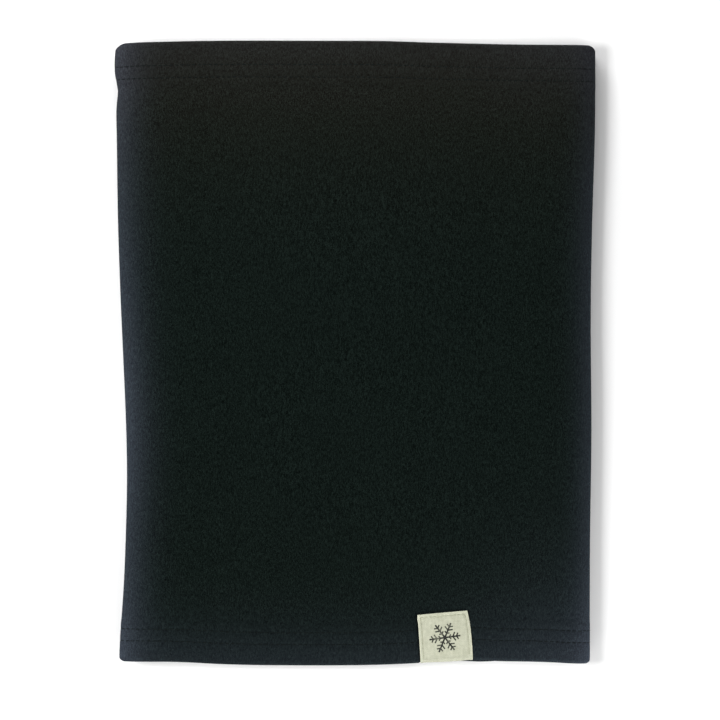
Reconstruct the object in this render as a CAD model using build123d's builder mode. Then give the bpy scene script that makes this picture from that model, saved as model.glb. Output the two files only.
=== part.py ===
"""Neck gaiter of stretch fleece, lying flat on a table as it comes off the shelf.

The cloth is one rectangle of knitted fleece, closed into a tube by an overlocked side seam that lies in
the left fold. Both mouths are turned in once and held by a two-needle coverstitch, and a small folded
label is sewn over the bottom hem.

+X is to the wearer's left when the label is in front, +Y runs up the neck towards the top hem, +Z is up
from the table, and the origin is on the table under the middle of the tube.
"""

import os
from functools import lru_cache

from build123d import *

# Cloth and flat tube
CLOTH = 1.5
TURN_GAP = 0.2
HEIGHT = 12.2
FOLD_RADIUS = 5.6
MARGIN = 10.0
BAND_REACH = 1.12

# The two folds of the flat tube, from above the top mouth to below the bottom one. The left fold holds
# the side seam, and its bulky hem makes the small shoulder near the top.
LEFT_FOLD = [
    (-116.5, 165.0),
    (-119.7, 143.5),
    (-118.4, 131.0),
    (-119.1, 116.0),
    (-116.2, 6.0),
    (-113.9, -61.0),
    (-117.6, -151.0),
    (-118.0, -165.0),
]
RIGHT_FOLD = [
    (119.7, 165.0),
    (119.9, 125.0),
    (117.8, 10.0),
    (117.9, -50.0),
    (117.3, -151.0),
    (117.2, -165.0),
]
# The two mouths, each from the left to the right, and the points outside the folds where the round
# corner at each end of them stops
TOP_MOUTH = [(-113.6, 154.9), (-47.0, 156.0), (19.0, 155.7), (67.0, 154.4), (114.2, 153.9)]
BOTTOM_MOUTH = [(-113.8, -154.0), (-95.0, -154.3), (-32.0, -156.0), (0.0, -155.9), (66.0, -154.0), (113.8, -154.9)]
TOP_CORNERS = [(-120.3, 148.2), (120.4, 147.7)]
BOTTOM_CORNERS = [(-118.3, -149.6), (117.9, -150.8)]

# Hems: how deep each is turned, and how far its two rows of stitches are from the mouth
TOP_TURN = 22.5
TOP_ROWS = (11.9, 18.0)
BOTTOM_TURN = 20.5
BOTTOM_ROWS = (10.5, 16.6)
THREAD = 0.4
GROOVE_DEPTH = 0.5
GROOVE_WIDTH = 0.8
LOOPER_MARGIN = 0.4

# Side seam: the two raw edges lie face to face inside the left fold
SEAM_SLIT = 0.2
ALLOWANCE = 7.0
SEAM_ROWS = (2.6, 4.6)
LOOPER_START = 5.0
OVERLOCK = 0.35

# Label: a strip folded over the bottom hem
LABEL_X = 45.1
LABEL_TILT = 3.0
LABEL_WIDTH = 25.6
LABEL_FRONT = 25.0
LABEL_BACK = 19.0
LABEL_CLOTH = 0.4
LABEL_FOLD_Y = -155.3
LABEL_FOLD_RADIUS = 0.6
LABEL_REST = 0.02
SEW_MARGIN = 1.3
SEW_THREAD = 0.25

TURN_STACK = 2 * CLOTH + TURN_GAP
MIDDLE = HEIGHT / 2
TUBE_END = LEFT_FOLD[0][1]


def moved(points, across=0.0, along=0.0):
    """The same points, moved in the plane of the table."""
    return [(x + across, y + along) for x, y in points]


@lru_cache
def blank(inset):
    """The flat tube as a solid bar with round sides, its surface moved in by inset."""
    with BuildPart() as bar:
        with BuildSketch(Plane.XY.offset(inset)):
            with BuildLine():
                left = Spline(moved(LEFT_FOLD, across=inset))
                right = Spline(moved(RIGHT_FOLD, across=-inset))
                Line(left @ 0, right @ 0)
                Line(left @ 1, right @ 1)
            make_face()
        extrude(amount=HEIGHT - 2 * inset)
        fillet(bar.edges().filter_by(lambda e: e.length > 2 * TUBE_END - 1), radius=FOLD_RADIUS - inset)
    return bar.part


@lru_cache
def outline():
    """Everything between the two mouths, which round off where they come to the folds."""
    with BuildPart() as column:
        with BuildSketch(Plane.XY.offset(-MARGIN)):
            with BuildLine():
                top = Spline(TOP_MOUTH)
                bottom = Spline(BOTTOM_MOUTH)
                top_left = TangentArc(top @ 0, TOP_CORNERS[0], tangent=-(top % 0))
                top_right = TangentArc(top @ 1, TOP_CORNERS[1], tangent=top % 1)
                bottom_left = TangentArc(bottom @ 0, BOTTOM_CORNERS[0], tangent=-(bottom % 0))
                bottom_right = TangentArc(bottom @ 1, BOTTOM_CORNERS[1], tangent=bottom % 1)
                Line(top_left @ 1, bottom_left @ 1)
                Line(top_right @ 1, bottom_right @ 1)
            make_face()
        extrude(amount=HEIGHT + 2 * MARGIN)
    return column.part


def band(mouth, near, far):
    """A strip that follows a mouth, from near to far into the tube, through the whole height."""
    inward = -1 if mouth is TOP_MOUTH else 1
    ends = [(x * BAND_REACH, y) for x, y in (mouth[0], mouth[-1])]
    line = [ends[0], *mouth[1:-1], ends[1]]
    with BuildPart() as strip:
        with BuildSketch(Plane.XY.offset(-MARGIN)):
            with BuildLine():
                first = Spline(moved(line, along=inward * near))
                last = Spline(moved(line, along=inward * far))
                Line(first @ 0, last @ 0)
                Line(first @ 1, last @ 1)
            make_face()
        extrude(amount=HEIGHT + 2 * MARGIN)
    return strip.part


def seam_strip(near, far, low, high):
    """A bar along the left fold, from near to far inside it, between two heights and the two hems."""
    with BuildPart() as strip:
        with BuildSketch(Plane.XY.offset(low)):
            with BuildLine():
                first = Spline(moved(LEFT_FOLD, across=near))
                last = Spline(moved(LEFT_FOLD, across=far))
                Line(first @ 0, last @ 0)
                Line(first @ 1, last @ 1)
            make_face()
        extrude(amount=high - low)
        top_hem = TOP_MOUTH[0][1] - TOP_TURN
        bottom_hem = BOTTOM_MOUTH[0][1] + BOTTOM_TURN
        with Locations((0, (top_hem + bottom_hem) / 2, MIDDLE)):
            Box(4 * TUBE_END, top_hem - bottom_hem, 4 * HEIGHT, mode=Mode.INTERSECT)
    return strip.part


def shell(outer, inner, region):
    """The part of the tube wall between two insets that lies in a region, inside the outline."""
    with BuildPart() as layer:
        add(blank(outer))
        add(blank(inner), mode=Mode.SUBTRACT)
        add(region, mode=Mode.INTERSECT)
        add(outline(), mode=Mode.INTERSECT)
    return layer.part


def save(part, name):
    """Labels a finished piece and writes it as its own STEP file."""
    part.label = name
    export_step(part, f"parts/{name}.step")
    box = part.bounding_box()
    print(name, len(part.solids()), "solids", round(part.volume, 1), "mm3", box.min, box.max)


def hem_threads(name, mouth, rows):
    """The two needle threads in their grooves and the looper thread under them, all round the tube."""
    labels = ("edge", "inner")
    for label, row in zip(labels, rows):
        half = THREAD / 2
        with BuildPart() as needle_thread:
            add(shell(half / 2, half / 2 + THREAD, band(mouth, row - half, row + half)))
        save(needle_thread.part, f"{name}_{label}_needle_thread")
    with BuildPart() as looper_thread:
        region = band(mouth, rows[0] - LOOPER_MARGIN, rows[1] + LOOPER_MARGIN)
        add(shell(TURN_STACK, TURN_STACK + OVERLOCK, region))
    save(looper_thread.part, f"{name}_looper_thread")


os.makedirs("parts", exist_ok=True)

# The cloth: one C-shaped wall, both hems turned in, and the two seam allowances inside the left fold
with BuildPart() as fleece_panel:
    add(shell(0, CLOTH, outline()))
    for mouth, turn in ((TOP_MOUTH, TOP_TURN), (BOTTOM_MOUTH, BOTTOM_TURN)):
        add(shell(CLOTH + TURN_GAP, TURN_STACK, band(mouth, 0, turn)))
        add(shell(0, TURN_STACK, band(mouth, 0, CLOTH)))
    wings = seam_strip(CLOTH / 2, ALLOWANCE, MIDDLE - SEAM_SLIT / 2 - CLOTH, MIDDLE + SEAM_SLIT / 2 + CLOTH)
    add(wings)
    with BuildSketch(Plane.XY.offset(MIDDLE - SEAM_SLIT / 2)):
        with Locations((LEFT_FOLD[0][0], 0)):
            Rectangle(4 * ALLOWANCE, 4 * TUBE_END)
    extrude(amount=SEAM_SLIT, mode=Mode.SUBTRACT)
    for mouth, rows in ((TOP_MOUTH, TOP_ROWS), (BOTTOM_MOUTH, BOTTOM_ROWS)):
        for row in rows:
            groove = band(mouth, row - GROOVE_WIDTH / 2, row + GROOVE_WIDTH / 2)
            add(shell(0, GROOVE_DEPTH, groove), mode=Mode.SUBTRACT)
save(fleece_panel.part, "fleece_panel")

hem_threads("top_hem", TOP_MOUTH, TOP_ROWS)
hem_threads("bottom_hem", BOTTOM_MOUTH, BOTTOM_ROWS)

# Overlock of the side seam: two needle threads on the upper allowance, and a looper thread on each side
# of it that wraps half of the raw edge
wing_top = MIDDLE + SEAM_SLIT / 2 + CLOTH
wing_bottom = MIDDLE - SEAM_SLIT / 2 - CLOTH
for label, row in zip(("outer", "inner"), SEAM_ROWS):
    with BuildPart() as seam_needle_thread:
        add(seam_strip(row - THREAD / 2, row + THREAD / 2, wing_top, wing_top + THREAD))
    save(seam_needle_thread.part, f"side_seam_{label}_needle_thread")
with BuildPart() as upper_looper_thread:
    add(seam_strip(LOOPER_START, ALLOWANCE, wing_top, wing_top + OVERLOCK))
    add(seam_strip(ALLOWANCE, ALLOWANCE + OVERLOCK, MIDDLE, wing_top + OVERLOCK))
save(upper_looper_thread.part, "side_seam_upper_looper_thread")
with BuildPart() as lower_looper_thread:
    add(seam_strip(SEAM_ROWS[0], ALLOWANCE, wing_bottom - OVERLOCK, wing_bottom))
    add(seam_strip(ALLOWANCE, ALLOWANCE + OVERLOCK, wing_bottom - OVERLOCK, MIDDLE))
save(lower_looper_thread.part, "side_seam_lower_looper_thread")

# Label: its section is drawn in a plane across the hem, +X away from the mouth, and pulled out sideways
label_plane = Plane(
    origin=(LABEL_X, LABEL_FOLD_Y, 0),
    x_dir=Vector(0, 1, 0).rotate(Axis.Z, LABEL_TILT),
    z_dir=Vector(1, 0, 0).rotate(Axis.Z, LABEL_TILT),
)
leaf_rest = HEIGHT + LABEL_REST
leaf_under = HEIGHT - TURN_STACK - OVERLOCK - 2 * LABEL_REST
with BuildPart() as hem_label:
    with BuildSketch(label_plane) as section:
        with BuildLine():
            outer = FilletPolyline(
                (LABEL_FRONT, leaf_rest + LABEL_CLOTH),
                (0, leaf_rest + LABEL_CLOTH),
                (0, leaf_under - LABEL_CLOTH),
                (LABEL_BACK, leaf_under - LABEL_CLOTH),
                radius=LABEL_FOLD_RADIUS,
            )
            inner = FilletPolyline(
                (LABEL_FRONT, leaf_rest),
                (LABEL_CLOTH, leaf_rest),
                (LABEL_CLOTH, leaf_under),
                (LABEL_BACK, leaf_under),
                radius=LABEL_FOLD_RADIUS - LABEL_CLOTH,
            )
            Line(outer @ 0, inner @ 0)
            Line(outer @ 1, inner @ 1)
        make_face()
    extrude(amount=LABEL_WIDTH / 2, both=True)
save(hem_label.part, "hem_label")


def sewing(length, height):
    """Thread along three sides of a label leaf, standing up from the given height."""
    leaf = Plane(origin=(LABEL_X, LABEL_FOLD_Y, height), x_dir=Vector(1, 0, 0).rotate(Axis.Z, LABEL_TILT))
    wide = LABEL_WIDTH - 2 * SEW_MARGIN
    tall = length - SEW_MARGIN - LABEL_FOLD_RADIUS
    with BuildPart() as thread:
        with BuildSketch(leaf):
            with Locations((0, LABEL_FOLD_RADIUS + tall / 2)):
                Rectangle(wide + SEW_THREAD, tall)
            with Locations((0, LABEL_FOLD_RADIUS + (tall - SEW_THREAD) / 2)):
                Rectangle(wide - SEW_THREAD, tall - SEW_THREAD, mode=Mode.SUBTRACT)
        extrude(amount=SEW_THREAD)
    return thread.part


with BuildPart() as label_needle_thread:
    add(sewing(LABEL_FRONT, leaf_rest + LABEL_CLOTH))
save(label_needle_thread.part, "label_needle_thread")
with BuildPart() as label_bobbin_thread:
    add(sewing(LABEL_BACK, leaf_under - LABEL_CLOTH - SEW_THREAD))
save(label_bobbin_thread.part, "label_bobbin_thread")
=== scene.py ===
"""Black stretch-fleece neck gaiter lying flat, seen from straight above on a white floor.

The cloth is one closed skin that runs up the outside of the tube, over the rim, down the inside and back.
Everything is worked out in millimetres in the CAD frame and written to the meshes in metres.
"""

import math

import bpy
import numpy as np
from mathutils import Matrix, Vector


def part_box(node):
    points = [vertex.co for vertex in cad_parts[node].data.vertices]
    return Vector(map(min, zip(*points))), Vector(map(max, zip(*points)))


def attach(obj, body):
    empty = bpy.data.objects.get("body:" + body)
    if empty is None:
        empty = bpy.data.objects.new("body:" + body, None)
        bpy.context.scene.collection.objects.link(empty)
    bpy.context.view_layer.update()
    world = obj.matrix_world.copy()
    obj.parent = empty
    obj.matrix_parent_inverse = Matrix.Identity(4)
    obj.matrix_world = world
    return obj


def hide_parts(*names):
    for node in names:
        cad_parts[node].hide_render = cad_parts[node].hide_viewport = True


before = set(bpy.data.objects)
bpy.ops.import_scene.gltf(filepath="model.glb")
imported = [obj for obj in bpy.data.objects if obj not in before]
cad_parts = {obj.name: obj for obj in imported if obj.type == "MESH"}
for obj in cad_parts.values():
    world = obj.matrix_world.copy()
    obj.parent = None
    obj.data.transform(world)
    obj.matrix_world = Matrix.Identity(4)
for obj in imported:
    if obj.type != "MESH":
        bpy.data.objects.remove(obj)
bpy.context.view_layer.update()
MM = 0.001

# ---------------------------------------------------------------- small helpers


def smooth(points):
    """A natural cubic curve through (at, value) points, held level beyond its ends."""
    x, y = np.array(sorted(points), dtype=float).T
    h = np.diff(x)
    slope = np.diff(y) / h
    n = len(x)
    a = np.eye(n)
    b = np.zeros(n)
    for i in range(1, n - 1):
        a[i, i - 1 : i + 2] = h[i - 1], 2 * (h[i - 1] + h[i]), h[i]
        b[i] = 6 * (slope[i] - slope[i - 1])
    m = np.linalg.solve(a, b)

    def value(at):
        at = np.clip(at, x[0], x[-1])
        i = np.clip(np.searchsorted(x, at, side="right") - 1, 0, n - 2)
        left, right = at - x[i], x[i + 1] - at
        return (
            (m[i] * right**3 + m[i + 1] * left**3) / (6 * h[i])
            + (y[i] / h[i] - m[i] * h[i] / 6) * right
            + (y[i + 1] / h[i] - m[i + 1] * h[i] / 6) * left
        )

    return value


def step(x):
    """0 below 0, 1 above 1, smooth between."""
    x = np.clip(x, 0, 1)
    return x * x * (3 - 2 * x)


def swell(x, low, high):
    """A hump from low to high, 1 in the middle."""
    return np.sin(np.pi * np.clip((x - low) / (high - low), 0, 1)) ** 2


def bell(x, middle, width):
    """A smooth hump, 1 at its middle and about a third of that at width to either side."""
    return np.exp(-(((x - middle) / width) ** 2))


def ripple(a, b, seed, waves=5):
    """Smooth random ripples of size about 1 over the plane (a, b), the same on every run."""
    dice = np.random.default_rng(seed)
    total = 0
    for _ in range(waves):
        turn = dice.uniform(0, 2 * np.pi)
        pace = dice.uniform(0.5, 1.6)
        total = total + np.sin(pace * (a * np.cos(turn) + b * np.sin(turn)) + dice.uniform(0, 2 * np.pi))
    return total / math.sqrt(waves)


def new_mesh(name, points, faces, material, **amounts):
    """An object from points in millimetres and faces as index tuples, with named amounts for each point."""
    mesh = bpy.data.meshes.new(name)
    mesh.from_pydata((np.asarray(points).reshape(-1, 3) * MM).tolist(), [], faces)
    for key, values in amounts.items():
        attribute = mesh.attributes.new(key, "FLOAT", "POINT")
        attribute.data.foreach_set("value", np.asarray(values, np.float32).ravel())
    mesh.materials.append(material)
    mesh.validate()
    mesh.shade_smooth()
    piece = bpy.data.objects.new(name, mesh)
    bpy.context.scene.collection.objects.link(piece)
    return piece


def grid_faces(rows, columns, wrap_rows=False, wrap_columns=False, start=0):
    """Quads of a grid whose points are stored row by row."""
    i = np.arange(rows if wrap_rows else rows - 1)[:, None]
    j = np.arange(columns if wrap_columns else columns - 1)[None, :]
    i2, j2 = (i + 1) % rows, (j + 1) % columns
    quads = np.stack([i * columns + j, i * columns + j2, i2 * columns + j2, i2 * columns + j], axis=-1)
    return (quads.reshape(-1, 4) + start).tolist()


def unit(v):
    return v / np.maximum(np.linalg.norm(v, axis=-1, keepdims=True), 1e-9)


def threads(paths, radius, sides=6, up=(0.0, 0.0, 1.0)):
    """Points and faces of closed thread tubes, one along each path of an array (paths, points, 3).

    up, which their sections are turned by, is one direction or one for each path point.
    """
    paths = np.asarray(paths, dtype=float)
    count, length, _ = paths.shape
    along = unit(np.gradient(paths, axis=1))
    up = np.broadcast_to(np.asarray(up, dtype=float), paths.shape)
    side = unit(np.cross(along, up))
    up = np.cross(side, along)
    turn = np.arange(sides) / sides * 2 * np.pi
    # each thread narrows at its two ends
    taper = np.ones(length)
    taper[[0, -1]] = 0.55
    ring = (
        np.cos(turn)[None, None, :, None] * side[:, :, None, :]
        + np.sin(turn)[None, None, :, None] * up[:, :, None, :]
    )
    points = paths[:, :, None, :] + ring * (radius * taper)[None, :, None, None]
    faces = []
    for k in range(count):
        first = k * length * sides
        faces += grid_faces(length, sides, wrap_columns=True, start=first)
        faces.append(tuple(range(first + sides - 1, first - 1, -1)))
        last = first + (length - 1) * sides
        faces.append(tuple(range(last, last + sides)))
    return points.reshape(-1, 3), faces


# ---------------------------------------------------------------- the tube

low, high = ([v / MM for v in corner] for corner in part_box("fleece_panel"))
# The pile stands a little proud of the CAD outline at the folds and the lower rim
LEFT = low[0] - 0.35
RIGHT = high[0] + 0.4
BOTTOM = low[1] - 0.45
TOP = high[1] - 0.15
FLOOR, HEIGHT = low[2], high[2]
# Nothing lies closer to the floor than this
CLEAR = 0.02

# How far each edge of the flat tube lies inside those limits, along that edge
left_inset = smooth([
    (156, 0.9), (150, 0.35), (143.2, 0.05), (137.5, 0.6), (131.2, 1.6), (126.5, 1.25), (121.2, 0.85),
    (111.2, 0.95), (85, 1.3), (58.7, 1.85), (6.2, 3.85), (-38.8, 5.75), (-61.3, 6.15), (-91.3, 5.55),
    (-121.3, 4.25), (-134, 3.35), (-151.3, 2.45), (-156, 2.3),
])
right_inset = smooth([
    (156, 0.1), (140, 0.0), (116, 0.05), (101.2, 0.35), (71.2, 1.3), (41.2, 1.95), (11.2, 2.2),
    (-38.8, 1.85), (-68.8, 2.2), (-98.8, 2.6), (-124, 2.7), (-156, 2.75),
])
top_inset = smooth([
    (-120, 1.6), (-113.4, 1.3), (-101.4, 0.95), (-77.4, 0.35), (-47.4, 0.1), (-17.4, 0.2), (18.6, 0.4),
    (36.6, 1.0), (60.6, 1.6), (84.6, 2.15), (108.6, 2.4), (120, 2.5),
])
bottom_inset = smooth([
    (-120, 2.0), (-111.4, 2.0), (-87.4, 1.85), (-69.4, 0.9), (-51.4, 0.3), (-30.4, 0.1), (2.6, 0.2),
    (20.6, 0.7), (32, 1.25), (62.6, 2.1), (80.6, 2.1), (98.6, 1.7), (110.6, 1.1), (120, 0.9),
])
# Radii of the left and the right corner at each mouth
CORNERS = {"top": (4.2, 2.8), "bottom": (1.8, 1.2)}

# One ply of the cloth, the two of a hem, and the radius of the hem's rolled edge
PLY = 1.5
HEM = 3.1
RIM = HEM / 2
# In from each mouth: how deep the cloth is turned in, and where its two rows of stitches run
TURN = {"top": 22.5, "bottom": 20.5}
ROWS = {"top": (12.0, 18.2), "bottom": (10.5, 16.4)}
# How far in from the outline the folds round over, on top at the left and the right, and underneath
SHOULDER = {"left": 17.0, "right": 11.0}
UNDER = 8.0
# How deep the upper layer sags between the folds
SAG = 2.2
# The mesh's rows follow the line of each mouth this far in
HEM_ZONE = 27.0
# Millimetres for each 1 of the place u beside the outermost line of the left fold
FOLD_PACE = 19.0
# Stretches across the tube, beside the label's two edges, where the mesh's columns lie closer
LABEL_SIDES = ((30.2, 34.2), (56.4, 60.9))

# Lengths of the stitches, and radii of the threads
STITCH = {"hem": 2.8, "seam": 2.6, "label": 2.1}
THREAD = {"hem_needle": 0.19, "hem_looper": 0.17, "seam_needle": 0.17, "seam_looper": 0.16, "label": 0.13}

# How strong the painted highlight is along each edge and at the lower right corner, and how far in that
# reaches. The last is the painted warm light below the top mouth.
PAINTED_LIGHT = {
    "left": (2.85, 10.8), "right": (2.0, 7.5), "top": (0.55, 22.0), "bottom": (1.1, 19.0),
    "corner": (1.3, 46.0), "warm": (1.03, 52.0),
}

# The section is walked from the seam in the left fold over the top, round the right fold and back below.
# A place on it is a number: 0 to 0.5 and 3.5 to 4 in the left fold, 0.5 to 1.5 above, 1.5 to 2.5 in the
# right fold and 2.5 to 3.5 below.


def fold_height(y, side):
    """How high the tube stands along a fold; side is -1 for the left fold and 1 for the right one."""
    wave = ripple(y / 26.0, side * 3.0, 5) * 0.2
    return HEIGHT - 0.5 + wave - 0.4 * bell(y, 20 * side, 60)


def sag(across, y):
    """How far the upper layer lies below the folds, at 0 to 1 of the way from left to right."""
    wide = RIGHT - LEFT
    x = across * wide
    from_folds = step(x / 55) * step((1 - across) * wide / 50)
    # the stiffer hems sag less
    hems = 1 - 0.28 * (step((y + 128) / -20) + step((y - 126) / 20))
    loose = ripple(x / 34.0, y / 42.0, 21) * 0.2 + ripple(x / 15.0, y / 24.0, 8) * 0.05
    return from_folds * (SAG * hems + loose)


def skin(u, y, depth):
    """The point of the tube that lies depth under its outer face."""
    u, y, depth = np.broadcast_arrays(np.asarray(u, float), np.asarray(y, float), np.asarray(depth, float))
    left, right = LEFT + left_inset(y), RIGHT - right_inset(y)
    upper, on_left = u < 2, (u <= 0.5) | (u >= 3.5)
    wide_left = np.where(upper, SHOULDER["left"], UNDER)
    wide_right = np.where(upper, SHOULDER["right"], UNDER)
    across = np.clip(np.where(upper, u - 0.5, 3.5 - u), 0, 1)
    tall_left, tall_right = fold_height(y, -1.0), fold_height(y, 1.0)
    flat_height = tall_left + (tall_right - tall_left) * step(across)
    half = np.where(on_left, tall_left, tall_right) / 2
    # how far round each fold, from 0 at its outermost line to a quarter turn where it meets the flat
    turn = np.pi * np.where(on_left, np.minimum(u, 4 - u), np.abs(u - 2))
    side = np.where(on_left, left + wide_left, right - wide_right)
    span = np.where(on_left, -(wide_left - depth), wide_right - depth)
    x = side + span * np.cos(turn)
    z = half + np.where(upper, 1, -1) * (half - depth) * np.sin(turn)
    flat = ((u > 0.5) & (u < 1.5)) | ((u > 2.5) & (u < 3.5))
    x = np.where(flat, left + wide_left + (right - left - wide_left - wide_right) * across, x)
    z = np.where(flat, np.where(upper, flat_height - sag(across, y) - depth, depth), z)
    return np.stack([x, y, np.maximum(z, CLEAR) + FLOOR], axis=-1)


def level(u):
    """1 on the flat layers, falling to 0 at the outermost line of each fold."""
    turn = np.pi * np.minimum(np.minimum(u, 4 - u), np.abs(u - 2))
    return np.where(turn < np.pi / 2, np.sin(np.clip(turn, 0, np.pi / 2)), 1.0)


def mouth(u, end, away):
    """y of a line that stays away from a mouth, and follows it round its corners near it."""
    edge_y = TOP if end == "top" else BOTTOM
    x = skin(u, np.full_like(u, edge_y), 0.0)[..., 0]
    left, right = LEFT + left_inset(edge_y), RIGHT - right_inset(edge_y)
    drop = 0
    # soft keeps a corner's curve from standing upright at the outermost line
    soft = 0.3
    for radius, gap in zip(CORNERS[end], (x - left, right - x)):
        w = np.clip(1 - (gap + soft) / (radius + soft), 0, 1)
        drop = drop + radius * (1 - np.sqrt(1 - w**2))
    # the round of the corners fades out 11 mm in from the mouth, and the label's pull 40 mm in
    drop = drop * np.clip(1 - away / 11.0, 0, 1)
    if end == "top":
        return TOP - top_inset(x) - away - drop
    # the label draws in the rim that it is folded over, and at its right end the lower layer's rim shows
    drawn = 0.65 * (step((x - 31.8) / 1.2) - step((x - 58.4) / 1.2))
    slip = np.where(u < 2, drawn + 0.85 * bell(x, 60, 8), -0.75 * bell(x, 63.5, 9))
    slip = slip * np.clip(1 - away / 40.0, 0, 1)
    return BOTTOM + bottom_inset(x) + away + drop + slip


def lay_of(u, y):
    """Distances from the two mouths, and a length round the section, for the relief."""
    x = skin(u, y, 0.0)[..., 0]
    around = np.where(u < 2, x - LEFT, 2 * (RIGHT - LEFT) - (x - LEFT)) + 6 * np.abs(np.sin(np.pi * u / 2))
    return TOP - top_inset(x) - y, y - BOTTOM - bottom_inset(x), around


def press(u, y):
    """How far the outer face is pressed in by the stitching, and out by the doubled cloth of the hems."""
    from_top, from_bottom, around = lay_of(u, y)
    total = 0
    for end, away, seed in (("top", from_top, 31), ("bottom", from_bottom, 32)):
        first, second = ROWS[end]
        turn = TURN[end]
        # the cloth swells before, between and past the two rows of stitches
        total = total - 0.10 * swell(away, 1.0, first)
        total = total - 0.06 * swell(away, first, second)
        total = total - 0.08 * swell(away, second, turn + 1.5)
        # each row pulls a groove, and fine puckers run across both
        for row, k in ((first, 1), (second, 2)):
            tight = 1 + 0.18 * ripple(around / 5.0, np.zeros_like(y), seed + k)
            total = total + 0.15 * bell(away, row, 0.6) * tight
        pucker = ripple(around / 2.1, away / 9.0, seed + 7, waves=6)
        total = total + 0.05 * pucker * bell(away, (first + second) / 2, 6.5)
        # the turned-in ply lifts the outer face
        total = total - 0.24 * step((turn + 1.4 - away) / 2.6)
    return total * (0.25 + 0.75 * level(u))


def seam_press(u, y):
    """The valley of the side seam in the left fold, gathered at every stitch."""
    from_seam = np.minimum(u, 4 - u) * FOLD_PACE
    gather = 1 + 0.15 * np.sin(y / STITCH["seam"] * 2 * np.pi)
    return 0.7 * bell(from_seam, 0, 0.55) * gather - 0.2 * bell(from_seam, 1.8, 1.0)


# The corners of the label's front leaf, from its upper left one round to the lower left one
LEAF = np.array([(31.4, -131.1), (56.1, -128.9), (58.9, -154.2), (32.8, -155.1)])


def over(x, y):
    """The place u of the upper layer at x, y."""
    left, right = LEFT + left_inset(y) + SHOULDER["left"], RIGHT - right_inset(y) - SHOULDER["right"]
    return 0.5 + (x - left) / (right - left)


def bow_out(t):
    """How far the label's right edge bows out, at t of the way down its front leaf."""
    return 0.6 * np.sin(np.pi * t**0.8)


def label_press(u, y):
    """The pile pressed flat under the label and drawn in round its sewn edges."""
    x = skin(u, y, 0.0)[..., 0]
    # t goes from 0 at the leaf's upper edge to 1 at the rim
    t = np.clip((LEAF[0][1] - 0.8 - y) / 25.0, 0, 1)
    x_left = LEAF[0][0] + (LEAF[3][0] - LEAF[0][0]) * t
    x_right = LEAF[1][0] + (LEAF[2][0] - LEAF[1][0]) * t + bow_out(t)
    y_top = LEAF[0][1] + (LEAF[1][1] - LEAF[0][1]) * (x - LEAF[0][0]) / (LEAF[1][0] - LEAF[0][0])
    gap = np.maximum(np.maximum(x_left - x, x - x_right), y - y_top)
    return 0.42 * (1 - step((gap - 0.1) / 0.9)) * (u < 2) * (gap > -3)


def outside(u, y):
    """Depth of the outer face, which swells nowhere underneath, where the tube lies on the floor."""
    under = (u > 2.5) & (u < 3.5)
    relief = press(u, y)
    return np.where(under, np.maximum(relief, 0), relief) + seam_press(u, y) + label_press(u, y)


def round_rim(away):
    """How far the rolled edge of a hem curves in from both of its faces."""
    w = np.clip(RIM - away, 0, RIM)
    return RIM - np.sqrt(np.maximum(RIM**2 - w**2, 0))


def thickness(away, turn, around):
    """One ply or two, with the cut edge of the turned-up ply a little uneven."""
    edge = turn + 0.25 * ripple(around / 6.0, np.zeros_like(around), 77)
    return PLY + (HEM - PLY) * (1 - step((away - edge) / 0.35 + 0.5))


def inside(u, y, away, end):
    """Depth of the inner face, near that mouth."""
    first, second = ROWS[end]
    dent = 0.25 * (bell(away, first, 0.7) + bell(away, second, 0.7)) * step((away - 2) / 2)
    around = lay_of(u, y)[2]
    # some of the outer face's relief comes through
    through = 0.3 * outside(u, y) * step(away / 1.5)
    return thickness(away, TURN[end], around) - round_rim(away) - dent + through


def columns():
    """The places u of the mesh's columns, closer together in the folds and beside the label."""
    beside = np.concatenate([np.arange(start, stop, 0.35) for start, stop in LABEL_SIDES])
    beside = over(beside, BOTTOM + 12) - 0.5
    # evenly spaced columns, but none right beside a closer one
    even = [t for t in np.linspace(0, 1, 145) if np.abs(t - beside).min() > 0.003]
    top = 0.5 + np.unique(np.concatenate([even, beside]))
    below = 2.5 + np.linspace(0, 1, 77)
    quarter = 0.5 * np.linspace(0, 1, 16) ** 1.25
    half = np.concatenate([-quarter[:0:-1], quarter])
    return np.concatenate([quarter[:-1], top[:-1], 2 + half[:-1], below[:-1], 4 - quarter[:0:-1]])


def open_pile(points):
    """How strong the painted highlight is at the folds, the mouths and the lower right corner, and the
    painted warm light towards the top.
    """
    x, y = points[..., 0], points[..., 1]
    from_left, from_right = x - LEFT - left_inset(y), RIGHT - right_inset(y) - x
    from_top, from_bottom = TOP - top_inset(x) - y, y - BOTTOM - bottom_inset(x)

    def painted_amount(side, gap):
        amount, reach = PAINTED_LIGHT[side]
        return amount * np.exp(-((np.maximum(gap, 0) / reach) ** 1.5))

    # the painted highlight is stronger on some stretches of the folds and of the top mouth than on others
    uneven = 1 + 0.16 * bell(y, -32, 36) - 0.2 * bell(y, 85, 45) - 0.14 * bell(y, -95, 28)
    lower = 1 - 0.25 * step((y - 80) / 40)
    sides = painted_amount("left", from_left) * uneven + painted_amount("right", from_right) * lower
    ends = painted_amount("top", from_top) * (1 + 0.7 * step((x - 50) / 60)) + painted_amount("bottom", from_bottom)
    return sides + ends + painted_amount("corner", np.hypot(from_right, from_bottom)), painted_amount("warm", from_top)


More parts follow.
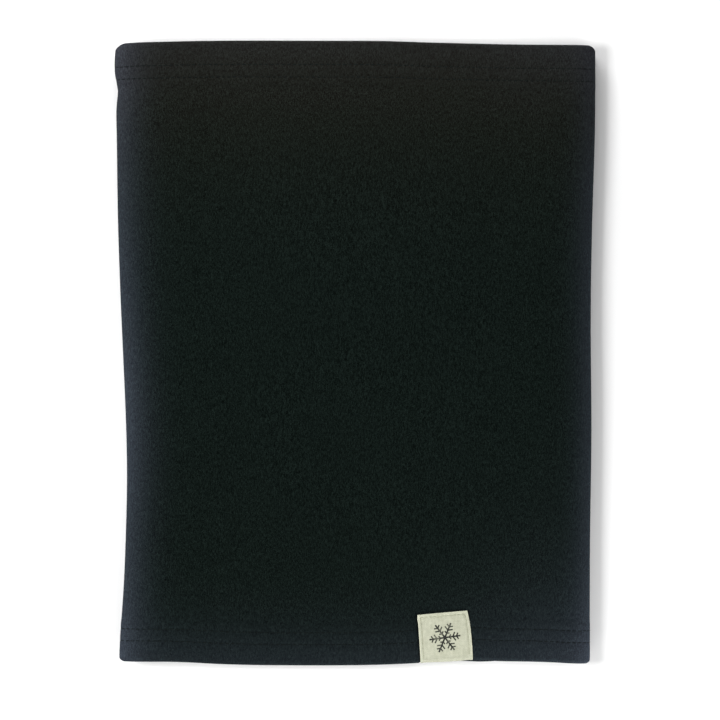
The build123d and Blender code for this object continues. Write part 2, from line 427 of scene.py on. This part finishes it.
def build_fleece(material):
    """The whole tube, row by row from the lower mouth up its outer face, over the rim and down inside."""
    u = columns()
    # the rows' distances from a mouth, closest together round the rim and at the turned-in cut edge
    hem_steps = np.concatenate([[0.04, 0.16, 0.36, 0.62, 0.95, 1.3, 1.75], np.arange(2.3, HEM_ZONE, 0.56)])

    def inner_steps(end):
        first, second = ROWS[end]
        edge = TURN[end] + np.array([-2.2, -1.0, -0.5, -0.3, -0.15, 0.0, 0.15, 0.3, 0.6, 1.4])
        rim = [0.04, 0.16, 0.36, 0.62, 0.95, 1.3, 1.9, 3.0, 5.0, 7.5]
        return np.concatenate([rim, np.arange(first - 1.2, second + 1.3, 0.6), edge, [HEM_ZONE]])

    def between(parts):
        low_line, high_line = mouth(u, "bottom", HEM_ZONE), mouth(u, "top", HEM_ZONE)
        return [low_line + (high_line - low_line) * t for t in parts]

    points = []

    def outer_row(y, away):
        points.append(skin(u, y, outside(u, y) * step(away / 1.5) + round_rim(away)))

    def inner_row(y, away, end):
        points.append(skin(u, y, inside(u, y, away, end)))

    for away in [0.0, *hem_steps]:
        outer_row(mouth(u, "bottom", away), away)
    for y in between(np.linspace(0, 1, 106)[1:-1]):
        outer_row(y, HEM_ZONE)
    for away in [*hem_steps[::-1], 0.0]:
        outer_row(mouth(u, "top", away), away)
    for away in inner_steps("top"):
        inner_row(mouth(u, "top", away), away, "top")
    for y in between(np.linspace(1, 0, 52)[1:-1]):
        inner_row(y, HEM_ZONE, "bottom")
    for away in inner_steps("bottom")[::-1]:
        inner_row(mouth(u, "bottom", away), away, "bottom")
    points = np.array(points)
    faces = grid_faces(len(points), len(u), wrap_rows=True, wrap_columns=True)
    # painted highlight and painted warm light, stored on the mesh for the fleece material
    pile, pile_top = open_pile(points)
    return new_mesh("fleece_tube", points, faces, material, pile=pile, pile_top=pile_top)


# ---------------------------------------------------------------- sewing threads


def ring(end, away):
    """A line round the tube, away from a mouth: places u along it, and the length as far as each."""
    u = np.linspace(0, 4, 6000)
    y = mouth(np.where(u >= 4, 0, u), end, away)
    points = skin(u, y, 0.0)
    along = np.concatenate([[0], np.cumsum(np.linalg.norm(np.diff(points, axis=0), axis=1))])
    return u, along


def outward(u, y, depth):
    """The direction out of the cloth."""
    return unit(skin(u, y, depth - 0.4) - skin(u, y, depth + 0.4))


def build_needle_row(name, end, row, material):
    """Straight stitches on the outer face, each dipping into the cloth at both ends."""
    u_line, along = ring(end, row)
    count = round(along[-1] / STITCH["hem"])
    dice = np.random.default_rng(round(row * 10))
    # the needle's holes, not quite evenly spaced, and each stitch from just past one to just before the next
    holes = (np.arange(count + 1) + 0.5) / count * along[-1] + dice.uniform(-0.12, 0.12, count + 1)
    holes[-1] = holes[0] + along[-1]
    t = np.linspace(0, 1, 8)
    at = holes[:-1, None] + 0.1 + (np.diff(holes)[:, None] - 0.2) * t
    u = np.interp(at % along[-1], along, u_line)
    away = row + dice.uniform(-0.07, 0.07, (count, 1)) + dice.uniform(-0.08, 0.08, (count, 1)) * (t - 0.5)
    y = np.stack([mouth(u[:, k], end, away[:, k]) for k in range(len(t))], axis=1)
    # deep in the cloth at each hole and just out of it halfway, but never lower than the underside
    depth = outside(u, y) + 0.42 - 0.46 * np.sin(np.pi * t) ** 0.6
    under = (u > 2.5) & (u < 3.5)
    depth = np.where(under, np.maximum(depth, 0.2), depth)
    points, faces = threads(skin(u, y, depth), THREAD["hem_needle"], up=outward(u, y, depth))
    points[:, 2] = np.maximum(points[:, 2], FLOOR + CLEAR)
    return new_mesh(name, points, faces, material)


def build_hem_looper(name, end, material):
    """The looper thread on the inner face: a zigzag between the two rows, and a chain along each."""
    first, second = ROWS[end]
    u_line, along = ring(end, (first + second) / 2)
    count = round(along[-1] / STITCH["hem"])
    pieces = []
    # eight points to a stitch
    base = np.arange(count * 8 + 1) / 8
    across = (second - first) * (0.5 - 0.5 * np.cos(base * 2 * np.pi))
    chain_lift = 0.30 + 0.12 * np.cos(base * 4 * np.pi)
    # how far from the mouth, how high over the inner face, and how many stitches along
    lines = [
        (first + across, 0.16 + 0 * base, base),
        (second - across, 0.34 + 0 * base, base + 0.28),
        (first + 0.32 * np.sin(base * 4 * np.pi), chain_lift, base),
        (second + 0.32 * np.sin(base * 4 * np.pi + 1.2), chain_lift, base),
    ]
    for away, lift, stitch in lines:
        at = (stitch / count * along[-1]) % along[-1]
        u = np.interp(at, along, u_line)
        y = mouth(u, end, away)
        depth = inside(u, y, away, end) + lift
        up = -outward(u, y, depth)
        pieces.append(threads(skin(u, y, depth)[None], THREAD["hem_looper"], sides=5, up=up[None]))
    return join(name, pieces, material)


def join(name, pieces, material):
    """One object from several (points, faces) lists."""
    points, faces, first = [], [], 0
    for some, quads in pieces:
        some = np.asarray(some).reshape(-1, 3)
        points.append(some)
        faces += [tuple(int(i) + first for i in face) for face in quads]
        first += len(some)
    return new_mesh(name, np.concatenate(points), faces, material)


# The two seam allowances stand into the tube from the left fold, one on the other, between the hems.
# Their needle rows lie this far in from the fold.
ALLOWANCE = 7.0
SEAM_ENDS = (BOTTOM + 22.0, TOP - 24.5)
SEAM_ROWS = (2.7, 4.7)
SEAM_STITCHES = int((SEAM_ENDS[1] - SEAM_ENDS[0] - 2) / STITCH["seam"])


def seam_frame(y):
    """The fold line at y, and the height of the line between the two allowances."""
    middle = fold_height(y, -1.0) / 2 + 0.25 * ripple(y / 17.0, 0 * y, 14)
    return LEFT + left_inset(y), middle


def raw_edge(y):
    """How far in from the fold the cut edge of an allowance lies."""
    return ALLOWANCE + 0.22 * ripple(y / 9.0, 0 * y, 15)


def build_allowances(material):
    """The two raw edges of the panel, one ply each, rounded at the cut and pinched by the needle rows."""
    y = np.arange(SEAM_ENDS[0], SEAM_ENDS[1], 1.3)
    fold, middle = seam_frame(y)
    pieces = []
    # each ply's section: its two faces, and the round of its cut edge between them
    near, far = 0.06, PLY
    half = (far - near) / 2
    flat = [1.0, 2.6, 4.2, 5.5]
    turn = np.linspace(-np.pi / 2, np.pi / 2, 7)
    for side in (1, -1):
        edge = raw_edge(y + 4 * side)
        rows = []
        for k in range(len(y)):
            xs = np.concatenate([flat, edge[k] - half + half * np.cos(turn), flat[::-1]])
            zs = np.concatenate([[near] * len(flat), near + half + half * np.sin(turn), [far] * len(flat)])
            pinch = 0.12 * (bell(xs, SEAM_ROWS[0], 0.5) + bell(xs, SEAM_ROWS[1], 0.5)) * (zs > near + half)
            zs = zs - pinch
            rows.append(np.stack([fold[k] + xs, np.full_like(xs, y[k]), middle[k] + side * zs], axis=-1))
        points = np.array(rows)
        count = points.shape[1]
        faces = grid_faces(len(rows), count, wrap_columns=True)
        faces.append(tuple(range(count - 1, -1, -1)))
        last = (len(rows) - 1) * count
        faces.append(tuple(range(last, last + count)))
        if side < 0:
            faces = [tuple(reversed(face)) for face in faces]
        pieces.append((points, faces))
    return join("side_seam_allowance", pieces, material)


def seam_point(y, inward, height):
    """A point of the seam: inward from the fold, and up from the line between the allowances."""
    fold, middle = seam_frame(y)
    return np.stack([fold + inward, y, middle + height], axis=-1)


def build_seam_needle(name, row, material):
    """Straight stitches along the upper allowance."""
    t = np.linspace(0, 1, 7)
    y = SEAM_ENDS[0] + 1 + (np.arange(SEAM_STITCHES)[:, None] + 0.04 + 0.92 * t) * STITCH["seam"]
    rise = PLY - 0.1 + 0.26 * np.sin(np.pi * t) ** 0.7 + 0 * y
    points, faces = threads(seam_point(y, row + 0 * y, rise), THREAD["seam_needle"])
    return new_mesh(name, points, faces, material)


def build_seam_looper(name, start, side, material):
    """Loops from the needle row round the cut edges and back, on one side of the allowances."""
    # one loop: out along the face, over the edge to the middle, and back, and how far on each station is
    stations = np.array([0.0, 0.25, 0.5, 0.75, 0.92, 1.0, 0.92, 0.75, 0.5, 0.25])
    step_y = np.array([0.0, 0.10, 0.22, 0.34, 0.42, 0.5, 0.58, 0.66, 0.78, 0.90])
    part = np.tile(stations, SEAM_STITCHES)
    loop = np.repeat(np.arange(SEAM_STITCHES), len(stations))
    y = SEAM_ENDS[0] + 1 + (loop + np.tile(step_y, SEAM_STITCHES)) * STITCH["seam"]
    edge = raw_edge(y + 4 * side)
    inward = np.where(part < 0.9, start + (edge - 0.1 - start) * part / 0.9, edge + 0.16 + 0 * part)
    inward = np.where(part >= 0.99, edge + 0.2, inward)
    height = np.where(part < 0.8, PLY + 0.2, np.where(part < 0.99, 1.25, 0.25)) * side
    points, faces = threads(seam_point(y, inward, height)[None], THREAD["seam_looper"], sides=5)
    return new_mesh(name, points, faces, material)


# ---------------------------------------------------------------- the label

# Thickness of the label's cloth, the label's width and the length of its back leaf
LEAF_CLOTH = 0.42
LABEL_WIDTH = 25.8
BACK_LEAF = 19.0
# In from its edges: how wide the hem turned under is, and where the stitches run
TURNED = 1.3
SEWN = TURNED + 0.3
# Radius of its middle surface round the rim
WRAP = RIM + 0.36


def strip(across, along):
    """A point of the label's middle surface and its outward direction.

    across goes from 0 to 1 and along is a length from the front leaf's upper edge, down over the rim and
    up inside the tube.
    """
    across, along = np.broadcast_arrays(np.asarray(across, float), np.asarray(along, float))
    upper = LEAF[0] + (LEAF[1] - LEAF[0]) * across[..., None]
    lower = LEAF[3] + (LEAF[2] - LEAF[3]) * across[..., None]
    x_rim = lower[..., 0]
    y_rim = mouth(over(x_rim, BOTTOM + 5), "bottom", 0.0)
    front = upper[..., 1] - (y_rim + RIM)
    round_length = np.pi * WRAP
    t = np.clip(along / front, 0, 1)
    back = np.clip(along - front - round_length, 0, None)
    turn = np.clip((along - front) / round_length, 0, 1) * np.pi
    bow = bow_out(t) * across**2 - 0.25 * bell(t, 0.1, 0.08) * (1 - across) ** 3
    x = upper[..., 0] + (lower[..., 0] - upper[..., 0]) * t + bow + back * -0.057
    y = np.where(along <= front, upper[..., 1] - along, y_rim + RIM - WRAP * np.sin(turn) + back)
    # the front leaf lies on the pile, and the rest goes round the middle of the rim to the inner face
    y_flat = np.maximum(y, y_rim + RIM)
    base = skin(over(x, y_flat), y_flat, -0.20)[..., 2]
    z_front = base + 0.16
    z_middle = base - 0.20 - RIM
    z = np.where(along <= front, z_front, z_middle + WRAP * np.cos(turn))
    z = np.where(back > 0, z_middle - WRAP - 0.12 * step(back / 3), z)
    out = np.stack([0 * x, -np.sin(turn), np.cos(turn)], axis=-1)
    # the two upper corners curl up, the left one more
    curl = 0.55 * bell(across, 0, 0.10) * bell(along, 0, 2.2)
    curl = curl + 0.25 * bell(across, 1, 0.10) * bell(along, 0, 2.2)
    z = z + curl + 0.05 * ripple(across * 6.0, along / 4.0, 61) * step(along / 2)
    return np.stack([x, y, z], axis=-1), out, front, round_length


def label_length():
    """From the front leaf's upper edge over the rim to the back leaf's end."""
    _, _, front, around = strip(0.5, 0.0)
    return float(front + around + BACK_LEAF)


def from_edge(across, along, length):
    """How far in a point of the label lies from its nearest edge."""
    return np.minimum(np.minimum(across, 1 - across) * LABEL_WIDTH, np.minimum(along, length - along))


def label_relief(across, along, length):
    """Half the label's thickness: doubled along its turned edges, with a dent where it is sewn."""
    edge = from_edge(across, along, length)
    rim = 1 - step((edge - TURNED) / 0.35 + 0.5)
    soft = np.sqrt(np.clip(edge / 0.22, 0, 1))
    return (LEAF_CLOTH / 2 + 0.17 * rim) * (0.35 + 0.65 * soft) - 0.06 * bell(edge, TURNED + 0.35, 0.22)


def build_label(material):
    """The folded strip as one closed loop of its two faces, with its ends filled in."""
    length = label_length()
    edge_steps = np.array([0.0, 0.05, 0.15, 0.35, 0.7, 1.05, 1.25, 1.45, 1.7, 2.0])
    sides = edge_steps / LABEL_WIDTH
    across = np.concatenate([sides, np.linspace(sides[-1], 1 - sides[-1], 42)[1:-1], 1 - sides[::-1]])
    along = np.concatenate([edge_steps, np.arange(2.5, length - 2.2, 0.5), length - edge_steps[::-1]])
    a, b = np.meshgrid(across, along)
    middle, out, front, _ = strip(a, b)
    thick = label_relief(a, b, length)[..., None]
    face, back = middle + out * thick, middle - out * thick
    loop = np.concatenate([face, back[:, ::-1]], axis=1)
    # paler along its edges, with a painted highlight at the upper left corner and painted shade where it
    # bends round the rim
    worn = bell(from_edge(a, b, length), 0, 0.55) + 0.8 * bell(np.hypot(a * LABEL_WIDTH, b), 0, 1.5)
    # painted shade where the label bends round the rim
    worn = worn - 2.4 * bell(b, front + 2.6, 2.0)
    worn = np.concatenate([worn, worn[:, ::-1]], axis=1)
    rows, count = loop.shape[:2]
    faces = grid_faces(rows, count, wrap_columns=True)
    n = len(across)
    for row, flip in ((0, False), (rows - 1, True)):
        first = row * count
        for k in range(n - 1):
            quad = (first + k, first + k + 1, first + count - 2 - k, first + count - 1 - k)
            faces.append(tuple(reversed(quad)) if flip else quad)
    faces = [tuple(reversed(face)) for face in faces]
    return new_mesh("hem_label_folded", loop, faces, material, worn=worn)


def build_label_stitches(name, ends, material):
    """Lockstitches on three sides of a leaf, SEWN inside its edges."""
    start, stop = ends
    left, right = SEWN / LABEL_WIDTH, 1 - SEWN / LABEL_WIDTH
    legs = [
        ((left, stop), (left, start)),
        ((left, start), (right, start)),
        ((right, start), (right, stop)),
    ]
    stitches = []
    dice = np.random.default_rng(4)
    for (a0, b0), (a1, b1) in legs:
        size = math.hypot((a1 - a0) * LABEL_WIDTH, b1 - b0)
        count = round(size / STITCH["label"])
        for k in range(count):
            t = (k + np.linspace(0.05, 0.95, 6)) / count
            shift = dice.uniform(-0.05, 0.05)
            a, b = a0 + (a1 - a0) * t + shift / LABEL_WIDTH, b0 + (b1 - b0) * t + shift
            middle, out, _, _ = strip(a, b)
            lift = LEAF_CLOTH / 2 - 0.12 + 0.20 * np.sin(np.pi * np.linspace(0, 1, 6)) ** 0.7
            stitches.append(middle + out * lift[:, None])
    points, faces = threads(np.array(stitches), THREAD["label"])
    return new_mesh(name, points, faces, material)


# ---------------------------------------------------------------- materials

# The cloth's own colour, and what the painted light adds, in shares of it: a cool painted highlight along the
# folds and the lower rim, and painted warm light below the top mouth
FLEECE = (0.0046, 0.0078, 0.0066)
PAINTED_HIGHLIGHT_TINT = (1.32, 0.88, 1.50)
PAINTED_WARM_TINT = (1.0, 0.18, 0.0)

# The label's yarns, in metres from one to the next, and how far its weave is turned
WARP_GAP, WEFT_GAP = 0.00080, 0.00086
WEAVE_TURN = math.radians(-4.0)

# The printed snowflake: its middle in metres and its turn, and above what height it is printed, which
# leaves the back leaf plain. Its arms and their side branches are in millimetres, as starts and lengths.
PRINT_PLACE = (0.0450, -0.1424, 0.0)
PRINT_TURN = math.radians(8.0)
PRINT_ABOVE = 0.0085
ARM, ARM_WIDTH = 7.9, 0.95
BRANCHES = ((2.3, 1.5), (4.0, 2.5), (5.8, 1.9))
BRANCH_WIDTH = 0.8
PRINT_SHARPNESS = 9.0
INK = (0.018, 0.019, 0.017, 1.0)


class Nodes:
    """Writes a material's node tree in short lines."""

    def __init__(self, name):
        self.material = bpy.data.materials.new(name)
        self.material.use_nodes = True
        self.tree = self.material.node_tree
        self.shader = self.tree.nodes["Principled BSDF"]

    def add(self, kind, links=(), **settings):
        """A node with its settings, the plain values of its inputs, and the links into it."""
        node = self.tree.nodes.new(kind)
        inputs = settings.pop("inputs", {})
        for key, value in settings.items():
            setattr(node, key, value)
        for key, value in inputs.items():
            node.inputs[key].default_value = value
        for key, source in dict(links).items():
            self.tree.links.new(source, node.inputs[key])
        return node

    def math(self, operation, a, b=None, clamp=False):
        """Maths on one or two values, each a node's output or a plain number."""
        node = self.add("ShaderNodeMath", operation=operation, use_clamp=clamp)
        for socket, value in zip(node.inputs, (a, b)):
            if isinstance(value, (int, float)):
                socket.default_value = value
            elif value is not None:
                self.tree.links.new(value, socket)
        return node.outputs[0]

    def plus(self, a, b, clamp=False):
        return self.math("ADD", a, b, clamp)

    def minus(self, a, b):
        return self.math("SUBTRACT", a, b)

    def times(self, a, b, clamp=False):
        return self.math("MULTIPLY", a, b, clamp)

    def weighted(self, *parts):
        """The sum of (value, weight) pairs."""
        total, *rest = [self.times(value, weight) for value, weight in parts]
        for part in rest:
            total = self.plus(total, part)
        return total

    def vector(self, operation, *values):
        """Vector maths on values that are each a node's output or a plain tuple."""
        node = self.add("ShaderNodeVectorMath", operation=operation)
        for socket, value in zip(node.inputs, values):
            if isinstance(value, tuple):
                socket.default_value = value
            else:
                self.tree.links.new(value, socket)
        return node.outputs[0]

    def scaled(self, vector, factor):
        return self.add("ShaderNodeVectorMath", {0: vector, "Scale": factor}, operation="SCALE").outputs[0]

    def constant(self, value):
        """A plain vector as a node's output."""
        node = self.add("ShaderNodeCombineXYZ")
        for socket, part in zip(node.inputs, value):
            socket.default_value = part
        return node.outputs[0]

    def split(self, vector):
        return self.add("ShaderNodeSeparateXYZ", {"Vector": vector}).outputs

    def stored(self, name):
        """An amount that is stored on the mesh."""
        return self.add("ShaderNodeAttribute", attribute_name=name).outputs["Fac"]

    def coordinates(self, scale=None):
        """The place on the object in metres, stretched by scale."""
        where = self.add("ShaderNodeTexCoord").outputs["Object"]
        if scale is None:
            return where
        return self.add("ShaderNodeMapping", {"Vector": where}, inputs={"Scale": scale}).outputs[0]

    def noise(self, vector, scale, detail=2.0, roughness=0.5):
        return self.add(
            "ShaderNodeTexNoise", {"Vector": vector},
            inputs={"Scale": scale, "Detail": detail, "Roughness": roughness},
        ).outputs["Fac"]

    def ramp(self, factor, stops):
        node = self.add("ShaderNodeValToRGB", {"Fac": factor})
        ramp = node.color_ramp
        while len(ramp.elements) < len(stops):
            ramp.elements.new(0.5)
        for element, (at, colour) in zip(ramp.elements, stops):
            element.position = at
            element.color = (*colour, 1.0)
        return node.outputs["Color"]

    def bump(self, height, strength, distance):
        inputs = {"Strength": strength, "Distance": distance}
        return self.add("ShaderNodeBump", {"Height": height}, inputs=inputs).outputs[0]

    def link(self, source, socket):
        self.tree.links.new(source, self.shader.inputs[socket])

    def set(self, **values):
        """Plain values on the shader's own sockets, named with _ for each space."""
        for name, value in values.items():
            self.shader.inputs[name.replace("_", " ")].default_value = value


def fleece_material():
    """Brushed knit: short dark pile over fine upright wales, greyer with painted highlight along the folds
    and mouths.
    """
    n = Nodes("fleece")
    fuzz = n.noise(n.coordinates((1.0, 0.85, 1.0)), 3300.0, 1.0)
    wale = n.noise(n.coordinates((1.0, 0.30, 1.0)), 2100.0, 1.0)
    clump = n.noise(n.coordinates(), 330.0)
    patch = n.noise(n.coordinates(), 24.0)
    grain = n.weighted((fuzz, 0.55), (wale, 0.40), (clump, 0.03), (patch, 0.02))
    tone = n.ramp(grain, [(0.38, (0.33,) * 3), (0.50, (0.96,) * 3), (0.65, (2.2,) * 3)])
    # painted highlight and painted warm light, read from the mesh
    cool = n.scaled(n.constant(PAINTED_HIGHLIGHT_TINT), n.stored("pile"))
    warm = n.scaled(n.constant(PAINTED_WARM_TINT), n.stored("pile_top"))
    # the painted highlight and warm light show about half as much grain as the cloth between
    softer = n.vector("MULTIPLY_ADD", tone, (0.45,) * 3, (0.55,) * 3)
    painted_light_colour = n.vector("MULTIPLY", n.vector("ADD", cool, warm), softer)
    n.link(n.vector("MULTIPLY", n.vector("ADD", tone, painted_light_colour), FLEECE), "Base Color")
    n.link(n.plus(n.times(fuzz, 0.25), 0.72), "Roughness")
    n.link(n.bump(grain, 0.5, 0.0003), "Normal")
    n.set(Specular_IOR_Level=0.0, Sheen_Weight=0.02, Sheen_Roughness=0.45)
    return n.material


def thread_material(name, dark, light):
    """Twisted sewing thread, with painted shade in its grooves."""
    n = Nodes(name)
    twist = n.noise(n.coordinates(), 2600.0, 2.0, 0.6)
    n.link(n.ramp(twist, [(0.35, dark), (0.7, light)]), "Base Color")
    n.link(n.plus(n.times(twist, 0.3), 0.5), "Roughness")
    n.link(n.bump(twist, 0.4, 0.0001), "Normal")
    n.set(Specular_IOR_Level=0.04, Sheen_Weight=0.01, Sheen_Roughness=0.4)
    return n.material


def snowflake(n):
    """1 on the snowflake's lines and 0 beside them."""
    local = n.add("ShaderNodeMapping", {"Vector": n.coordinates()}, vector_type="TEXTURE", inputs={
        "Location": PRINT_PLACE, "Rotation": (0.0, 0.0, PRINT_TURN), "Scale": (MM, MM, MM),
    }).outputs[0]
    x, y, _ = n.split(local)
    radius = n.math("SQRT", n.plus(n.times(x, x), n.times(y, y)))
    # the angle from the nearest of the six arms, the same to either side of it
    angle = n.plus(n.math("ARCTAN2", y, x), math.pi / 6)
    sector = n.math("ABSOLUTE", n.minus(n.math("FLOORED_MODULO", angle, math.pi / 3), math.pi / 6))
    along = n.times(radius, n.math("COSINE", sector))
    aside = n.times(radius, n.math("SINE", sector))

    def bar(start, direction, length, wide):
        """1 within half of wide of a line that leaves the arm at start."""
        ahead = n.minus(along, start)
        c, s = math.cos(direction), math.sin(direction)
        forward = n.plus(n.times(ahead, c), n.times(aside, s))
        off = n.math("ABSOLUTE", n.minus(n.times(aside, c), n.times(ahead, s)))
        within_width = n.times(n.minus(wide / 2, off), PRINT_SHARPNESS, clamp=True)
        before_end = n.times(n.minus(length, forward), PRINT_SHARPNESS, clamp=True)
        after_start = n.times(n.plus(forward, 0.05), PRINT_SHARPNESS, clamp=True)
        return n.times(n.times(within_width, before_end), after_start)

    lines = bar(0.0, 0.0, ARM, ARM_WIDTH)
    for start, length in BRANCHES:
        lines = n.math("MAXIMUM", lines, bar(start, math.pi / 3, length, BRANCH_WIDTH))
    return lines


def label_material():
    """Plain-woven cotton tape with uneven yarns, paler along its edges, with a painted highlight at its upper
    left corner and painted shade round the rim, and its printed snowflake.
    """
    n = Nodes("label_cotton")
    turned = n.add("ShaderNodeMapping", {"Vector": n.coordinates()}, inputs={
        "Rotation": (0.0, 0.0, WEAVE_TURN),
    }).outputs[0]
    x, y, _ = n.split(turned)
    warp = n.math("SINE", n.times(x, 2 * math.pi / WARP_GAP))
    weft = n.math("SINE", n.times(y, 2 * math.pi / WEFT_GAP))
    weave = n.times(warp, weft)
    slub = n.noise(n.coordinates((1.0, 0.35, 1.0)), 900.0, 2.0, 0.6)
    stain = n.noise(n.coordinates(), 120.0)
    yarn = n.noise(n.coordinates((0.3, 1.0, 1.0)), 1500.0, 1.0)
    tone = n.plus(n.weighted((weave, 0.12), (slub, 0.35), (stain, 0.25), (yarn, 0.20)), 0.075)
    cloth = n.ramp(tone, [
        (0.28, (0.37, 0.38, 0.28)),
        (0.48, (0.49, 0.50, 0.385)),
        (0.68, (0.61, 0.62, 0.495)),
    ])
    # paler along the edges, a painted highlight at the upper left corner and painted shade round the rim
    cloth = n.scaled(cloth, n.plus(n.times(n.stored("worn"), 0.17), 1.0))

    on_front = n.math("GREATER_THAN", n.split(n.coordinates())[2], PRINT_ABOVE)
    # the ink takes unevenly on the slubs
    cover = n.plus(n.times(slub, 1.2), 0.35, clamp=True)
    ink = n.times(n.times(snowflake(n), on_front), cover)
    # of this node's sockets, 0 is the factor, 6 and 7 are the two colours, and output 2 is their mix
    printed = n.add("ShaderNodeMix", {0: ink, 6: cloth}, data_type="RGBA", inputs={7: INK})
    n.link(printed.outputs[2], "Base Color")
    n.link(n.plus(n.times(slub, 0.2), 0.72), "Roughness")
    n.link(n.bump(n.weighted((weave, 0.5), (slub, 0.8)), 0.45, 0.00012), "Normal")
    n.set(Specular_IOR_Level=0.15, Sheen_Weight=0.05, Sheen_Roughness=0.5)
    return n.material


# ---------------------------------------------------------------- stage, light and camera

# Half the floor's side in millimetres, the floor's two close tones, and the strength of the white surround
FLOOR_REACH = 3000
FLOOR_TONES = ((0.93,) * 3, (0.95,) * 3)
SURROUND = 0.22

# Lights: name, place, what it points at, size and power
SOFT = (0.5, 0.5)
STRIP = (0.25, 0.12)
LIGHTS = [
    ("key_left", (-0.919, 0.0, 0.919), (0.0, 0.0, 0.0), SOFT, 14.0),
    ("fill_corner", (0.796, -0.796, 0.65), (0.0, 0.0, 0.0), SOFT, 3.0),
    ("strip_left", (-0.42, -0.03, 0.07), (-0.1, -0.03, 0.0), STRIP, 0.9),
    ("strip_top", (-0.02, 0.42, 0.10), (0.0, 0.1, 0.0), STRIP, 1.3),
    ("strip_bottom", (0.0, -0.42, 0.08), (0.0, -0.1, 0.0), STRIP, 0.6),
    ("strip_corner", (0.34, -0.36, 0.08), (0.1, -0.12, 0.0), STRIP, 1.2),
    ("strip_right", (0.42, 0.0, 0.07), (0.1, 0.0, 0.0), STRIP, 0.3),
]

# The camera looks straight down on a point, from this far above it, and sees this width there, in metres
AIM = (0.0026, -0.0038, 0.008)
AWAY = 1.7
VIEW_WIDTH = 0.36
SENSOR_MM = 36.0


def build_floor():
    n = Nodes("floor_white")
    grain = n.noise(n.coordinates(), 3.0, 1.0)
    n.link(n.ramp(grain, list(zip((0.0, 1.0), FLOOR_TONES))), "Base Color")
    n.set(Roughness=0.9, Specular_IOR_Level=0.0)
    corners = [(x * FLOOR_REACH, y * FLOOR_REACH, 0) for x, y in ((-1, -1), (1, -1), (1, 1), (-1, 1))]
    plane = new_mesh("floor", corners, [(0, 1, 2, 3)], n.material)


def light_studio():
    world = bpy.data.worlds.new("studio")
    world.use_nodes = True
    background = world.node_tree.nodes["Background"]
    background.inputs["Color"].default_value = (1.0, 1.0, 1.0, 1.0)
    background.inputs["Strength"].default_value = SURROUND
    bpy.context.scene.world = world

    for name, place, aim, size, power in LIGHTS:
        lamp = bpy.data.lights.new(name, "AREA")
        lamp.shape = "RECTANGLE"
        lamp.size, lamp.size_y = size
        lamp.energy = power
        holder = bpy.data.objects.new(name, lamp)
        holder.location = place
        holder.rotation_euler = Vector(np.subtract(aim, place)).to_track_quat("-Z", "Y").to_euler()
        holder.visible_camera = False
        bpy.context.scene.collection.objects.link(holder)


def add_camera():
    camera = bpy.data.cameras.new("camera")
    camera.sensor_width = SENSOR_MM
    camera.lens = SENSOR_MM * AWAY / VIEW_WIDTH
    camera.clip_start, camera.clip_end = 0.05, 20.0
    holder = bpy.data.objects.new("camera", camera)
    holder.location = (AIM[0], AIM[1], AIM[2] + AWAY)
    bpy.context.scene.collection.objects.link(holder)
    bpy.context.scene.camera = holder
    bpy.context.scene.view_settings.view_transform = "Standard"


# ---------------------------------------------------------------- the pieces

fleece = fleece_material()
black_thread = thread_material("black_thread", (0.0020, 0.0034, 0.0030), (0.0062, 0.0092, 0.0084))
cream_thread = thread_material("cream_thread", (0.34, 0.35, 0.25), (0.50, 0.51, 0.39))
cotton = label_material()


def stand_in(piece, slot, *nodes):
    """Makes a piece ride the one body and stand for CAD nodes, whose parts it hides. slot is not used."""
    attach(piece, "root")
    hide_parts(*nodes)
    return piece


tube = stand_in(build_fleece(fleece), "fleece", "fleece_panel")
allowance = stand_in(build_allowances(fleece), "fleece", "fleece_panel")
for end in ("top", "bottom"):
    for row, which in zip(ROWS[end], ("edge", "inner")):
        name = f"{end}_hem_{which}_needle"
        needle = build_needle_row(f"{name}_stitches", end, row, black_thread)
        stand_in(needle, "sewing_thread", f"{name}_thread")
    looper = build_hem_looper(f"{end}_hem_looper_stitches", end, black_thread)
    stand_in(looper, "sewing_thread", f"{end}_hem_looper_thread")
for row, which in zip(SEAM_ROWS, ("outer", "inner")):
    name = f"side_seam_{which}_needle"
    needle = build_seam_needle(f"{name}_stitches", row, black_thread)
    stand_in(needle, "sewing_thread", f"{name}_thread")
for start, side, which in ((SEAM_ROWS[1], 1, "upper"), (SEAM_ROWS[0], -1, "lower")):
    looper = build_seam_looper(f"side_seam_{which}_looper_stitches", start, side, black_thread)
    stand_in(looper, "sewing_thread", f"side_seam_{which}_looper_thread")

label = stand_in(build_label(cotton), "label_cotton", "hem_label")
_, _, front_length, rim_length = strip(0.5, 0.0)
# each leaf is sewn from SEWN inside its end to this far short of the rim
short_of_rim = 0.6
leaf_ends = (SEWN, float(front_length) - short_of_rim)
back_ends = (label_length() - SEWN, float(front_length + rim_length) + short_of_rim)
needle = build_label_stitches("label_needle_stitches", leaf_ends, cream_thread)
bobbin = build_label_stitches("label_bobbin_stitches", back_ends, cream_thread)
label_threads = [
    stand_in(needle, "label_thread", "label_needle_thread"),
    stand_in(bobbin, "label_thread", "label_bobbin_thread"),
]

build_floor()
light_studio()
add_camera()
